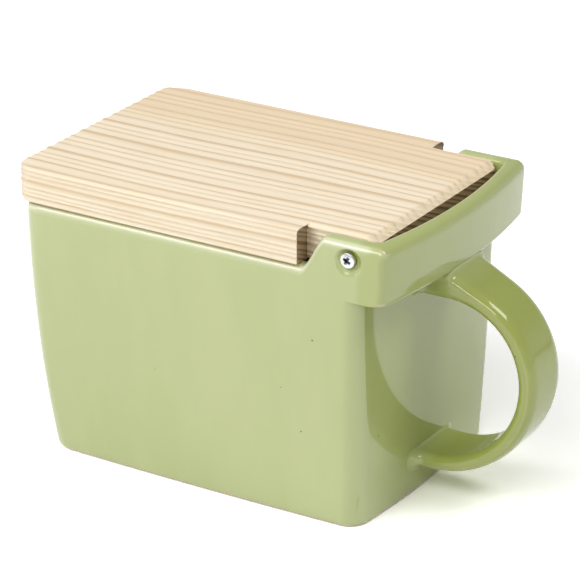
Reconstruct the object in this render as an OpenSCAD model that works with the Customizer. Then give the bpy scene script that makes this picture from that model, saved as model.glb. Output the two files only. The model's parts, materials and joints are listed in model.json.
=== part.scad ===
// Salt box: a glazed stoneware vessel with a strap handle and a wooden lid.
// The lid is one board. Its tongue turns on two screws between the ears of the vessel.
// Origin at the middle of the underside, +X towards the handle, +Z up, millimetres.

/* [Vessel] */
// From the middle of the foot to its edge at the free end
foot_front = 59.2; // [54:0.1:66]
// From the middle of the foot to its edge at the handle, at the corners
foot_back = 59.8; // [57:0.1:63]
// Width of the foot
foot_w = 85.8; // [78:0.1:92]
// From the middle of the foot to the rim at the free end
rim_front = 66.3; // [60:0.1:80]
// Width over the rim and over the ears
rim_w = 93.2; // [84:0.1:104]
// Height of the rim that the lid lies on
rim_z = 88.05; // [70:0.05:110]
// From the middle of the foot to the back wall under the collar, at the corners
back_top = 60.9; // [59:0.1:63]
// Thickness of the walls
wall_t = 5; // [3.5:0.1:6]
// Thickness of the floor
floor_t = 5.5; // [4:0.1:9]
// Width of the rim along the sides and the free end
rim_t = 6; // [5.2:0.1:7.5]
// Rounding of the rim's outer edge
rim_r = 3.2; // [1.5:0.1:3.5]
// Rounding of the rim's inner edge
rim_in_r = 1.5; // [0.8:0.1:1.6]
// How far the middle of a side stands out past its ends, at the foot
side_bow = 0.9; // [0:0.1:2.5]
// How far the middle of the back stands out past its corners
back_bow = 2.3; // [0:0.1:4]
// Width of the foot ring that the vessel stands on
foot_ring = 7; // [4:0.5:12]
// Height of the recess inside the foot ring
foot_recess = 1.1; // [0.5:0.1:2]

/* [Corners] */
// Upright corners at the free end
front_r = 8.4; // [7:0.1:12]
// Upright corners at the handle, at the foot
back_foot_r = 6.4; // [5:0.1:8]
// Upright corners at the handle, under the collar
back_top_r = 5; // [3:0.1:6]
// Rounding of the foot's outer edge
foot_r = 1.6; // [0.8:0.1:3]
// Rounding between the floor and the walls inside
floor_r = 7; // [4:0.5:9]
// Upright corners inside at the free end, along the rim
inner_rim_r = 3.4; // [2:0.1:5]
// Upright corners inside at the free end, below the rim
inner_front_r = 5.4; // [3:0.1:8]
// Upright corners inside at the handle, under the ledge
inner_back_r = 4; // [2:0.1:6]

/* [Collar and ears] */
// Height of the collar from its underside to its top
collar_h = 19.4; // [17:0.1:24]
// How far the collar stands out past the back wall
collar_step = 9; // [7.5:0.1:10.5]
// How much further the collar's top stands out than its underside
collar_lean = 0.7; // [0:0.1:1.5]
// Thickness of the collar
collar_t = 5.3; // [5:0.1:6]
// How far the middle of the collar stands out past its corners
collar_bow = 4.4; // [2:0.1:6]
// Outer corners of the collar in plan
collar_r = 2.2; // [1.5:0.1:5]
// Inner corners of the collar in plan
collar_in_r = 1.8; // [1.2:0.1:2.2]
// Hollow rounding between the back wall and the collar's underside
tuck_r = 1.4; // [0.8:0.1:2.5]
// Rounding of the collar's lower edge
lip_r = 1.2; // [0.8:0.1:2.5]
// How far the ears end below the top of the lid
ear_drop = 0.6; // [0:0.1:1.5]
// Length of the slope at the front of an ear
ear_slope = 9.2; // [7:0.1:11]

/* [Lid] */
// Thickness of the board
lid_t = 11.65; // [10:0.05:14]
// How far the board stands out past the rim at the free end
lid_over_end = 2.5; // [0:0.1:5]
// How far the board stands out past the rim at each side
lid_over_side = 0.2; // [0:0.1:1.5]
// Length of the tongue between the ears
tongue_l = 24; // [22:0.1:27]
// Corners of the board at the free end
lid_corner_r = 9; // [5:0.1:14]
// Corners of the tongue
tongue_r = 3.2; // [3:0.1:7]
// Rounding of the board's long top edges
lid_edge_r = 1.6; // [0.8:0.1:2.5]
// Length of the slope on top of the tongue's end
bevel_l = 3.9; // [3:0.1:5.5]
// Height of the slope on top of the tongue's end
bevel_h = 2.8; // [2:0.1:4]

/* [Hinge] */
// From the end of the tongue to the hinge axis
axis_in = 5.8; // [5:0.1:6.5]
// Height of the hinge axis above the underside of the board
axis_up = 5.55; // [5:0.05:6.2]
// Diameter of the screws
screw_d = 3; // [2.5:0.1:3.5]
// Diameter of the screw heads
head_d = 5.3; // [5:0.1:6.5]
// Height of the screw heads
head_h = 2; // [1.6:0.1:2.4]
// Length of the screws under the head
screw_l = 20; // [16:0.5:30]
// Length of the screws' points
point_l = 3; // [2:0.5:5]
// Diameter of the screws' tips
tip_d = 0.4; // [0.2:0.1:1]
// How much deeper the pilot holes in the board go than the screws
pilot_spare = 1; // [0.5:0.5:4]
// Depth of the dishes that the heads sit in
dish_depth = 1.2; // [0.8:0.1:2]
// How much wider a dish is at its mouth than at its bottom, all round
dish_flare = 1.1; // [0:0.1:1.2]
// Width of the gap all round a head at the bottom of its dish
dish_gap = 0.5; // [0.4:0.1:1.2]
// Width of the cross slots in the heads
slot_w = 0.8; // [0.5:0.05:1]
// Length of the cross slots in the heads
slot_l = 3.6; // [2:0.1:4]
// Depth of the cross slots in the heads
slot_depth = 1.1; // [0.6:0.1:1.4]

/* [Handle] */
// Width of the strap
strap_w = 20.6; // [16:0.1:26]
// Width of the strap where it comes to the wall, without the flare
strap_root_w = 23; // [16:0.1:30]
// Thickness of the strap
strap_t = 5.7; // [4.5:0.1:6.5]
// Rounding of the strap's edges
strap_r = 2.3; // [1.5:0.1:2.5]
// From the middle of the foot to the outermost point of the strap's centre line
reach = 101.2; // [92:0.1:115]
// Height of that outermost point
reach_z = 45.3; // [40:0.1:50]
// Centre line of the strap's upper end below the collar's underside
root_drop = 6.05; // [5:0.05:9]
// Height of the centre line of the strap's lower end
root_z = 12.8; // [11:0.1:20]
// How much wider the strap's ends get where they meet the wall, each way
flare = 2.1; // [1:0.1:3]
// Length of those wider ends
flare_l = 4; // [2:0.1:6]
// Slope at which the strap's top runs up to the collar
web_slope = 26; // [20:1:30]
// Hollow rounding between that slope and the collar
web_r = 2.2; // [1:0.1:3]

/* [Clearances] */
// Gap between the rim and the closed lid
lid_gap = 0.3; // [0.2:0.05:0.6]
// Gap between the tongue and each ear
side_gap = 0.5; // [0.3:0.05:1]
// Gap between the tongue's end and the corners of the collar
end_gap = 1.3; // [1:0.1:2]
// Gap between the board and the foot of an ear
ear_gap = 0.4; // [0.3:0.05:1]
// Room under the tongue as it swings down
swing_gap = 0.9; // [0.5:0.1:1.5]
// Radial play of the screws in the ears
bore_play = 0.06; // [0.02:0.01:0.1]
// Radial play of the screws in the board's pilot holes
pilot_play = 0.02; // [0.01:0.01:0.05]
// Gap between a screw head and the floor of its dish
head_gap = 0.2; // [0.1:0.05:0.4]
// Gap between the strap's ends and the wall that they are joined to
joint_gap = 0.03; // [0.02:0.01:0.1]

/* [Hidden] */
$fn = 48;

// How far cutting shapes run past what they cut
over = 1;
// Least radius that a corner keeps when its ring is drawn in
least_r = 0.5;
// Upright part of the collar's face above its rounded lower edge, under the lowest rim
lip_land = 0.5;
// Upright part of the inner wall under the rim's inner edge
edge_land = 3;
// Height of the end of the ledge above the collar's underside
ledge_rise = 1.5;
// Height over which the wall thickens inside, under the ledge
wall_change = 12;
// Width of the slope round the recess in the underside
recess_slope = 0.8;

glaze = [0.76, 0.79, 0.57];
wood = [0.93, 0.83, 0.67];
steel = [0.78, 0.79, 0.80];

// Heights
lid_bottom = rim_z + lid_gap;
lid_top = lid_bottom + lid_t;
ear_z = lid_top - ear_drop;
collar_z = ear_z - collar_h;
axis_z = lid_bottom + axis_up;
// Up to here the walls have one height all round, and above it they follow the rim
level_z = collar_z + lip_r + lip_land;

// Lengths and half widths
collar_foot = back_top + collar_step;
collar_out = collar_foot + collar_lean;
collar_in = collar_out - collar_t;
tongue_end = collar_in - end_gap;
axis_x = tongue_end - axis_in;
notch_x = tongue_end - tongue_l;
ear_x = notch_x + ear_gap;
foot_half = foot_w / 2;
rim_half = rim_w / 2;
ear_in = rim_half - rim_t;
tongue_half = ear_in - side_gap;
lid_half = rim_half + lid_over_side;
lid_front = rim_front + lid_over_end;
// The tongue's lower corner turns on this radius, and the ledge under it keeps clear
ledge_r = norm([axis_in, axis_up]) + swing_gap;

// How strongly the free end, the sides and the back curve on the way up: 1 is straight
front_bend = 2.3;
side_bend = 1.35;
back_bend = 3;

// Points round one ring: half the back, a corner, a side, a corner, half the front
back_n = 7;
corner_n = 6;
slope_n = 10;
side_n = 6;
front_n = 5;

function mix(a, b, t) = a + (b - a) * t;
function clamp(t) = min(max(t, 0), 1);
function soft(t) = clamp(t) * clamp(t) * (3 - 2 * clamp(t));

// The walls bend inwards towards the foot
function wall_k(t, bend) = 1 - pow(1 - clamp(t), bend);
function front_at(z) = mix(foot_front, rim_front, wall_k(z / rim_z, front_bend));
function half_at(z) = mix(foot_half, rim_half, wall_k(z / rim_z, side_bend));
function back_at(z) = mix(foot_back, back_top, wall_k(z / collar_z, back_bend));
function back_r_at(z) = mix(back_foot_r, back_top_r, clamp(z / collar_z));
function side_bow_at(z) = side_bow * (1 - clamp(z / rim_z));

// Height of the rim: low along the board, then up the slope to the ears and collar
function rim_at(x) = mix(rim_z, ear_z, soft((x - ear_x) / ear_slope));

// Half a ring in plan, from the middle of the back to the middle of the front.
// Each point is [x, y, height of the rim above it].
function half_ring(front, back, half, rf, rb) =
    let (
        side_back = back - rb,
        side_front = rf - front,
        squeeze = min(1, (side_back - least_r) / (ear_x + ear_slope)),
        slope_x = [for (i = [0 : slope_n]) ear_x + ear_slope * (1 - i / slope_n)]
    ) concat(
        [for (i = [0 : back_n - 1]) [back, (half - rb) * i / back_n, ear_z]],
        [for (i = [0 : corner_n])
            let (a = 90 * i / corner_n)
            [side_back + rb * cos(a), half - rb + rb * sin(a), ear_z]],
        [[mix(side_back, slope_x[0] * squeeze, 0.5), half, ear_z]],
        [for (x = slope_x) [x * squeeze, half, rim_at(x)]],
        [for (i = [1 : side_n - 1]) [mix(ear_x * squeeze, side_front, i / side_n), half, rim_z]],
        [for (i = [0 : corner_n])
            let (a = 90 * i / corner_n)
            [side_front - rf * sin(a), half - rf + rf * cos(a), rim_z]],
        [for (i = [1 : front_n]) [-front, (half - rf) * (1 - i / front_n), rim_z]]
    );

// The sides and the ends stand out a little in the middle
function bowed(p, front, back, half, side, end, rear) =
    let (
        along = (p.x - (back - front) / 2) / ((back + front) / 2),
        across = p.y / half
    )
    [p.x + (p.x > 0 ? rear : -end) * (1 - across * across),
     p.y + sign(p.y) * side * (1 - along * along),
     p[2]];

function mirrored(points) = [
    for (i = [len(points) - 2 : -1 : 1])
        [points[i].x, -points[i].y, points[i][2]]
];

// Height of a ring at one point: rings above level_z are drawn together under a low rim
function ring_z(z, drop, rim) =
    drop >= 0 ? rim - drop
    : z <= level_z ? z
    : mix(level_z, rim - rim_r, (z - level_z) / (ear_z - rim_r - level_z));

// A closed ring of points in space. drop is the depth below the rim, or -1 to use z.
function ring(z, drop, front, back, half, rf, rb, side, end, rear) =
    let (
        plan = half_ring(front, back, half, rf, rb),
        whole = concat(plan, mirrored(plan))
    )
    [for (p = whole)
        let (q = bowed(p, front, back, half, side, end, rear))
        [q.x, q.y, ring_z(z, drop, p[2])]];

// Rings of the outside, moved out by grow, with inset for edges. Where a ring dips under
// the low rim it is drawn in to the walls' curve at that height.
function wall_ring(z, back, inset = 0, drop = -1, grow = 0, rb = back_top_r, rear = back_bow) =
    let (
        out = grow - inset,
        front = front_at(z) + out,
        half = half_at(z) + out,
        points = ring(z, drop, front, back + out, half,
                      max(front_r - inset, least_r), max(rb - inset, least_r),
                      side_bow_at(z), side_bow_at(z), rear)
    )
    [for (p = points)
        [p.x > 0 ? p.x : p.x * (front_at(p[2]) + out) / front,
         p.y * (half_at(p[2]) + out) / half,
         p[2]]];

wall_z = [for (i = [1 : 9]) foot_r + (collar_z - tuck_r - foot_r) * i / 9];

function foot_rings(grow = 0) = [
    for (a = [0 : 30 : 90])
        let (z = foot_r * (1 - cos(a)))
        wall_ring(z, back_at(z), foot_r * (1 - sin(a)), -1, grow, back_foot_r)
];

function outside_rings(grow = 0) = concat(
    [for (z = wall_z) wall_ring(z, back_at(z), 0, -1, grow, back_r_at(z))],
    [for (a = [45, 90])
        let (z = collar_z - tuck_r * (1 - sin(a)))
        wall_ring(z, back_at(z) + tuck_r * (1 - cos(a)), 0, -1, grow)],
    [for (a = [0 : 30 : 90])
        let (z = collar_z + lip_r * (1 - cos(a)))
        wall_ring(z, collar_foot - lip_r * (1 - sin(a)), 0, -1, grow,
                  mix(back_top_r, collar_r, sin(a)), collar_bow)],
    [for (i = [1 : 3])
        let (t = i / 3, z = mix(collar_z + lip_r, ear_z - rim_r, t))
        wall_ring(z, collar_foot + collar_lean * t, 0, -1, grow, collar_r, collar_bow)]
);

outer_edge = [
    for (a = [30 : 30 : 90])
        wall_ring(ear_z, collar_out, rim_r * (1 - cos(a)), rim_r * (1 - sin(a)), 0,
                  collar_r, collar_bow)
];

// Rings of the inside: over the rim, down to the ledge behind the tongue, down the walls
function rim_ring(z, back, drop = -1, inset = 0, rb = collar_in_r, rear = collar_bow) =
    ring(z, drop, rim_front - rim_t + inset, back + inset, ear_in + inset,
         inner_rim_r + inset, rb + inset, 0, 0, rear);

inner_edge = [
    for (a = [90 : -30 : 0])
        rim_ring(ear_z, collar_in, rim_in_r * (1 - sin(a)), rim_in_r * (1 - cos(a)))
];

ledge_a = acos((collar_in - axis_x) / ledge_r);
ledge_end_a = 84;
ledge_rings = [
    for (i = [0 : 5])
        let (a = mix(ledge_a, ledge_end_a, i / 5))
        rim_ring(axis_z - ledge_r * sin(a), axis_x + ledge_r * cos(a), -1, 0,
                 mix(collar_in_r, inner_back_r, i / 5), mix(collar_bow, back_bow, i / 5))
];

function inner_ring(z, inset = 0) =
    let (t = soft((z - collar_z + wall_change) / wall_change))
    ring(z, -1, mix(front_at(z) - wall_t, rim_front - rim_t, t) - inset, back_at(z) - wall_t - inset,
         mix(half_at(z) - wall_t, ear_in, t) - inset, mix(inner_front_r, inner_rim_r, t) + inset / 2,
         inner_back_r + inset / 2, side_bow_at(z), side_bow_at(z), back_bow);

inside_z = [for (i = [0 : 7]) mix(collar_z + ledge_rise, floor_t + floor_r, i / 7)];
floor_rings = [
    for (a = [30 : 30 : 90])
        inner_ring(floor_t + floor_r * (1 - sin(a)), floor_r * (1 - cos(a)))
];

// Underside: the recess, the foot ring and its rounded outer edge
under_rings = [
    wall_ring(foot_recess, back_at(0), foot_ring + recess_slope, -1, 0, back_foot_r),
    wall_ring(0, back_at(0), foot_ring, -1, 0, back_foot_r)
];

// Skins a stack of rings, with a flat cap at each end
module skin(rings) {
    n = len(rings[0]);
    last = len(rings) - 1;
    points = [for (r = rings) each r];
    sides = [
        for (k = [0 : last - 1], i = [0 : n - 1])
            let (j = (i + 1) % n, a = k * n + i, b = k * n + j, c = a + n, d = b + n)
            each [[a, c, d], [a, d, b]]
    ];
    first_cap = [for (i = [0 : n - 1]) i];
    last_cap = [for (i = [n - 1 : -1 : 0]) last * n + i];
    polyhedron(points, concat([first_cap], sides, [last_cap]), convexity = 6);
}

// The bore of the hinge and the dish for a screw head, on the side that s names
module ear_bore(s) {
    hole_r = screw_d / 2 + bore_play;
    floor_d = head_d / 2 + dish_gap;
    mouth_d = floor_d + dish_flare * (dish_depth + over) / dish_depth;
    translate([axis_x, s * rim_half, axis_z])
        rotate([s * 90, 0, 0]) {
            cylinder(h = rim_t + over, r = hole_r);
            translate([0, 0, -over])
                cylinder(h = dish_depth + over, r1 = mouth_d, r2 = floor_d);
        }
}

module vessel() {
    color(glaze)
        difference() {
            skin(concat(under_rings, foot_rings(), outside_rings(), outer_edge,
                        inner_edge, [rim_ring(ear_z - rim_r - edge_land, collar_in)], ledge_rings,
                        [for (z = inside_z) inner_ring(z)], floor_rings));
            for (s = [-1, 1])
                ear_bore(s);
        }
}

// The strap's centre line: out from the wall under the collar, round, and back near the foot
top_z = collar_z - root_drop;
top_r = top_z - reach_z;
low_r = reach_z - root_z;
top_x = reach - top_r;
low_x = reach - low_r;
top_wall = back_at(top_z) + back_bow;
low_wall = back_at(root_z) + back_bow;
half_t = strap_t / 2;

// The slope from the strap's top to the collar is tangent to the strap, and web_r rounds
// the corner that it makes with the collar. Lengths are measured from the strap's upper bend.
out_r = top_r + half_t;
face_x = collar_foot + collar_bow;
web_x = face_x + web_r - top_x;
web_z = (out_r + web_r - web_x * sin(web_slope)) / cos(web_slope);
web_start = atan((face_x - top_x) / web_z);
web_end = atan((web_x - web_r * sin(web_slope)) / (web_z - web_r * cos(web_slope)));

// From the strap's upper bend to its outer side, in the direction a from upright
function out_at(a) =
    a <= web_start ? web_z / cos(web_start)
    : a < web_end ?
        let (
            near = web_x * sin(a) + web_z * cos(a),
            beside = web_x * cos(a) - web_z * sin(a)
        )
        near - sqrt(max(web_r * web_r - beside * beside, 0))
    : a < web_slope ? out_r / cos(web_slope - a)
    : out_r;

// Stops along the strap, each [x, z, direction, distance from the wall, depth to the outer side]
arc_step = 6;
run_n = 5;
web_n = 5;
edge_n = 4;
// The strap's ends start this far inside the wall's face, and are cut back to it
sunk = 1;
hidden_end = 4;
web_depth = out_at(0) - top_r;
top_run = [
    for (i = [0 : run_n])
        let (x = mix(top_wall - sunk, top_x, i / run_n))
        [x, top_z, 0, x - top_wall, web_depth]
];
top_angles = concat(
    [for (i = [0 : web_n]) mix(web_start, web_end, i / web_n)],
    [for (a = [arc_step : arc_step : 90 - arc_step]) a]
);
top_arc = [
    for (a = top_angles)
        let (x = top_x + top_r * sin(a))
        [x, reach_z + top_r * cos(a), a, x - top_wall, out_at(a) - top_r]
];
low_arc = [
    for (a = [90 : arc_step : 180])
        let (x = low_x + low_r * sin(a))
        [x, reach_z + low_r * cos(a), a, x - low_wall, half_t]
];
low_run = [
    for (i = [run_n - 1 : -1 : 0])
        let (x = mix(low_wall - sunk, low_x, i / run_n))
        [x, root_z, 180, x - low_wall, half_t]
];
strap_stops = concat(
    [[top_wall - hidden_end, top_z, 0, -sunk, web_depth]],
    top_run, top_arc, low_arc, low_run,
    [[low_wall - hidden_end, root_z, 180, -sunk, half_t]]
);

// The section at one stop: a rounded bar that widens towards the wall, and flares at it
function strap_ring(stop) =
    let (
        u = 1 - clamp(stop[3] / flare_l),
        edge = flare * (1 - sqrt(1 - u * u)),
        wide = (strap_root_w - strap_w) / 2 * (1 - soft(stop[3] / (reach - top_wall))),
        w = strap_w / 2 - strap_r + wide,
        out_t = stop[4] - strap_r,
        in_t = half_t - strap_r,
        r = strap_r + edge,
        corners = [[w, out_t], [-w, out_t], [-w, -in_t], [w, -in_t]]
    )
    [for (c = [0 : 3], i = [0 : edge_n])
        let (
            a = 90 * (c + i / edge_n),
            out = corners[c].y + r * sin(a)
        )
        [stop.x + out * sin(stop[2]), corners[c].x + r * cos(a), stop.y + out * cos(stop[2])]];

module handle() {
    color(glaze)
        difference() {
            skin([for (stop = strap_stops) strap_ring(stop)]);
            skin(concat(foot_rings(joint_gap), outside_rings(joint_gap)));
        }
}

// Plan of the board: rounded free end, notched for the ears
module lid_plan() {
    translate([lid_corner_r - lid_front, -lid_half])
        square([notch_x + lid_front - lid_corner_r, 2 * lid_half]);
    translate([-lid_front, lid_corner_r - lid_half])
        square([lid_corner_r + over, 2 * (lid_half - lid_corner_r)]);
    translate([notch_x - over, -tongue_half])
        square([tongue_l + over - tongue_r, 2 * tongue_half]);
    translate([notch_x, tongue_r - tongue_half])
        square([tongue_l, 2 * (tongue_half - tongue_r)]);
    for (s = [-1, 1]) {
        translate([lid_corner_r - lid_front, s * (lid_half - lid_corner_r)])
            circle(r = lid_corner_r, $fn = 64);
        translate([tongue_end - tongue_r, s * (tongue_half - tongue_r)])
            circle(r = tongue_r);
    }
}

// Section of the board across its length, with rounded top edges
module board_section(half) {
    union() {
        translate([-half, 0])
            square([2 * half, lid_t - lid_edge_r]);
        translate([lid_edge_r - half, 0])
            square([2 * (half - lid_edge_r), lid_t]);
        for (s = [-1, 1])
            translate([s * (half - lid_edge_r), lid_t - lid_edge_r])
                circle(r = lid_edge_r);
    }
}

module board_run(from_x, to_x, half) {
    translate([from_x, 0, lid_bottom])
        rotate([90, 0, 90])
            linear_extrude(to_x - from_x)
                board_section(half);
}

// Section of the board along its length: round at the free end, sloped at the tongue
module side_view() {
    rotate([90, 0, 0])
        translate([0, 0, -lid_half - over])
            linear_extrude(2 * (lid_half + over))
                translate([0, lid_bottom])
                    union() {
                        polygon([
                            [lid_edge_r - lid_front, 0],
                            [tongue_end, 0],
                            [tongue_end, lid_t - bevel_h],
                            [tongue_end - bevel_l, lid_t],
                            [lid_edge_r - lid_front, lid_t]
                        ]);
                        translate([-lid_front, 0])
                            square([lid_edge_r + over, lid_t - lid_edge_r]);
                        translate([lid_edge_r - lid_front, lid_t - lid_edge_r])
                            circle(r = lid_edge_r);
                    }
}

module lid() {
    pilot_r = screw_d / 2 + pilot_play;
    seat = rim_half - dish_depth + head_gap;
    pilot_depth = screw_l - (seat - tongue_half) + pilot_spare;
    color(wood)
        difference() {
            intersection() {
                translate([0, 0, lid_bottom])
                    linear_extrude(lid_t)
                        lid_plan();
                union() {
                    board_run(-lid_front, notch_x, lid_half);
                    board_run(notch_x - over, tongue_end, tongue_half);
                }
                side_view();
            }
            for (s = [-1, 1])
                translate([axis_x, s * (tongue_half + over), axis_z])
                    rotate([s * 90, 0, 0])
                        cylinder(h = pilot_depth + over, r = pilot_r);
        }
}

// Pan head screw with its head outwards, on the side that s names
module screw(s) {
    seat = rim_half - dish_depth + head_gap;
    shank_l = screw_l - point_l;
    edge = head_h * 0.35;
    color(steel)
        translate([axis_x, s * seat, axis_z])
            rotate([s * 90, 0, 0])
                difference() {
                    union() {
                        rotate_extrude()
                            union() {
                                translate([0, -head_h])
                                    square([head_d / 2 - edge, head_h]);
                                translate([0, edge - head_h])
                                    square([head_d / 2, head_h - edge]);
                                translate([head_d / 2 - edge, edge - head_h])
                                    circle(r = edge);
                            }
                        cylinder(h = shank_l, d = screw_d);
                        translate([0, 0, shank_l])
                            cylinder(h = point_l, d1 = screw_d, d2 = tip_d);
                    }
                    for (a = [0, 90])
                        rotate([0, 0, a])
                            translate([-slot_l / 2, -slot_w / 2, -head_h - over])
                                cube([slot_l, slot_w, slot_depth + over]);
                }
}

module near_screw() {
    screw(-1);
}

module far_screw() {
    screw(1);
}

vessel();
handle();
lid();
near_screw();
far_screw();
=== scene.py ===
import json
import math

import bpy
import numpy as np
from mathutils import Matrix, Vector, noise
from mathutils.bvhtree import BVHTree


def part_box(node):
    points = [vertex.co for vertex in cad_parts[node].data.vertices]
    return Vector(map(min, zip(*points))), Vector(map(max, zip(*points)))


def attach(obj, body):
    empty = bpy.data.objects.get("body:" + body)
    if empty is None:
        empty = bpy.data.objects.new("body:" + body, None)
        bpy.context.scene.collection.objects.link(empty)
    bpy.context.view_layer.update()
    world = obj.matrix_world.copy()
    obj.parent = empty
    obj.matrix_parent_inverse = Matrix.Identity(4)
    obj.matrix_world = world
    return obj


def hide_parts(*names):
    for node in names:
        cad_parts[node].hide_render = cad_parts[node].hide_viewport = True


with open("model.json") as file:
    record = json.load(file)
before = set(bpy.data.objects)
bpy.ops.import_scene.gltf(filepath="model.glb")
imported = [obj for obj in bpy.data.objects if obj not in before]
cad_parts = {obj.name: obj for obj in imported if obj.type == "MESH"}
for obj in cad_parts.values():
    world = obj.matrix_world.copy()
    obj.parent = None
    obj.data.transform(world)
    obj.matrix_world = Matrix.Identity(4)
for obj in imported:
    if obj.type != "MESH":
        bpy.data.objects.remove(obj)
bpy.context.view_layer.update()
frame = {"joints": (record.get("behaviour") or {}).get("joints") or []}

mm = 0.001
hinge = Vector(frame["joints"][0]["pos_m"])
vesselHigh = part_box("vessel")[1]
lidLow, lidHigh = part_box("lid")


# Everyday helpers

def deselectAll():
    if bpy.context.object and bpy.context.object.mode != "OBJECT":
        bpy.ops.object.mode_set(mode="OBJECT")
    bpy.ops.object.select_all(action="DESELECT")


def pick(piece):
    deselectAll()
    piece.select_set(True)
    bpy.context.view_layer.objects.active = piece


def nameIt(piece, name):
    piece.name = name
    piece.data.name = name
    return piece


def vertexVectors(piece, kind):
    flat = np.empty(len(piece.data.vertices) * 3)
    piece.data.vertices.foreach_get(kind, flat)
    return flat.reshape(-1, 3)


def coords(piece):
    return vertexVectors(piece, "co")


def setCoords(piece, places):
    piece.data.vertices.foreach_set("co", np.asarray(places, float).ravel())
    piece.data.update()


def edgeEnds(piece):
    ends = np.empty(len(piece.data.edges) * 2, int)
    piece.data.edges.foreach_get("vertices", ends)
    return ends.reshape(-1, 2).T


def setAttribute(piece, name, values):
    layer = piece.data.attributes.new(name, "FLOAT", "POINT")
    layer.data.foreach_set("value", np.asarray(values, np.float32))


def blendTo(a, b, t):
    return a + (b - a) * t


def soften(t):
    t = np.clip(t, 0, 1)
    return t * t * (3 - 2 * t)


def quarterTurn(count):
    return np.radians(np.linspace(0, 90, count))


def makeSolidOutward(piece, smoothAngle):
    pick(piece)
    bpy.ops.object.mode_set(mode="EDIT")
    bpy.ops.mesh.select_all(action="SELECT")
    bpy.ops.mesh.remove_doubles(threshold=1e-7)
    bpy.ops.mesh.normals_make_consistent(inside=False)
    bpy.ops.object.mode_set(mode="OBJECT")
    bpy.ops.object.shade_smooth_by_angle(angle=math.radians(smoothAngle))


def cutAway(piece, cutter):
    pick(piece)
    cut = piece.modifiers.new("cut", "BOOLEAN")
    cut.operation = "DIFFERENCE"
    cut.solver = "EXACT"
    cut.object = cutter
    bpy.ops.object.modifier_apply(modifier="cut")
    bpy.data.objects.remove(cutter)


# Extrudes what is selected straight up from a level, and cuts it into levels 1 apart
def extrudeLevels(piece, start, levels):
    bpy.ops.object.mode_set(mode="EDIT")
    bpy.ops.mesh.extrude_region_move(TRANSFORM_OT_translate={"value": (0, 0, levels)})
    bpy.ops.mesh.select_mode(type="EDGE")
    bpy.ops.mesh.select_all(action="DESELECT")
    bpy.ops.object.mode_set(mode="OBJECT")
    a, b = coords(piece)[edgeEnds(piece)]
    upright = (np.abs(a[:, 2] - b[:, 2]) > 0.5) & (np.minimum(a[:, 2], b[:, 2]) > start - 0.5)
    piece.data.edges.foreach_set("select", upright)
    bpy.ops.object.mode_set(mode="EDIT")
    bpy.ops.mesh.subdivide(number_cuts=levels - 1)
    bpy.ops.mesh.select_mode(type="VERT")
    bpy.ops.mesh.select_all(action="DESELECT")
    bpy.ops.object.mode_set(mode="OBJECT")


# A filled circle is extruded and cut into rings, and then every ring takes its own outline
def stackRings(name, rings):
    count, last = len(rings[0]), len(rings) - 1
    deselectAll()
    bpy.ops.mesh.primitive_circle_add(vertices=count, radius=1, fill_type="NGON")
    piece = nameIt(bpy.context.object, name)
    extrudeLevels(piece, 0, last)
    now = coords(piece)
    level = np.rint(now[:, 2]).astype(int)
    turn = np.rint(np.arctan2(now[:, 1], now[:, 0]) / (2 * math.pi / count)).astype(int) % count
    setCoords(piece, np.array(rings)[level, turn])
    return piece


# How sharply the surface turns at each vertex, in 1/mm, for the thin glaze along the edges
def edgeTurn(piece):
    shortest, leastTrust = 0.12, 0.01  # edges shorter than this, in mm, say little
    a, b = edgeEnds(piece)
    places, normals = coords(piece) / mm, vertexVectors(piece, "normal")
    step = places[a] - places[b]
    square = (step * step).sum(1)
    trust = np.where(square > shortest ** 2, 1, leastTrust)
    turn = ((normals[a] - normals[b]) * step).sum(1) / np.maximum(square, shortest ** 2)
    turn = np.clip(turn, -1, 1)
    for _ in range(2):  # the values are averaged twice
        total = np.zeros(len(places))
        weight = np.zeros(len(places))
        for end in (a, b):
            np.add.at(total, end, turn * trust)
            np.add.at(weight, end, trust)
        average = total / np.maximum(weight, leastTrust)
        turn = (average[a] + average[b]) / 2
    return average


# The glazed vessel

vesselShape = {
    "footFront": 59.2 * mm,
    "footBack": 59.8 * mm,
    "footHalf": 42.9 * mm,
    "rimFront": 66.3 * mm,
    "rimHeight": 88.05 * mm,
    "backTop": 60.9 * mm,
    "wall": 5 * mm,
    "floor": 5.5 * mm,
    "rimWidth": 6 * mm,
    "rimRounding": 3.2 * mm,
    "rimInnerRounding": 1.5 * mm,
    "sideBow": 0.9 * mm,
    "backBow": 2.3 * mm,
    "footRing": 7 * mm,
    "footRecess": 1.1 * mm,
    "recessSlope": 0.8 * mm,
    "frontCorner": 8.4 * mm,
    "backFootCorner": 6.4 * mm,
    "backTopCorner": 5 * mm,
    "footRounding": 1.6 * mm,
    "floorRounding": 7 * mm,
    "innerRimCorner": 3.4 * mm,
    "innerFrontCorner": 5.4 * mm,
    "innerBackCorner": 4 * mm,
    "collarHeight": 19.4 * mm,
    "collarStep": 9 * mm,
    "collarLean": 0.7 * mm,
    "collarWall": 5.3 * mm,
    "collarBow": 4.4 * mm,
    "collarCorner": 2.2 * mm,
    "collarInnerCorner": 1.8 * mm,
    "tuck": 1.4 * mm,
    "lip": 1.2 * mm,
    "earStart": 40.4 * mm,
    "earSlope": 9.2 * mm,
    "upright": 3 * mm,
    "ledgeRadius": 8.93 * mm,
    "ledgeEnd": 84,  # degrees
    "ledgeRise": 1.5 * mm,
    "wallChange": 12 * mm,
    "dishMouth": 4.95 * mm,
    "frontBend": 2.3,  # powers of the walls' curves
    "sideBend": 1.35,
    "backBend": 3,
    "dishFacet": 5,
    "dishSmooth": 60,
    "smoothAngle": 50,
}
v = vesselShape
earTop = vesselHigh.z
rimHalf = vesselHigh.y
collarFoot = v["backTop"] + v["collarStep"]
collarOut = collarFoot + v["collarLean"]
collarIn = collarOut - v["collarWall"]
collarUnder = earTop - v["collarHeight"]
levelHeight = collarUnder + v["lip"] + 0.5 * mm
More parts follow.
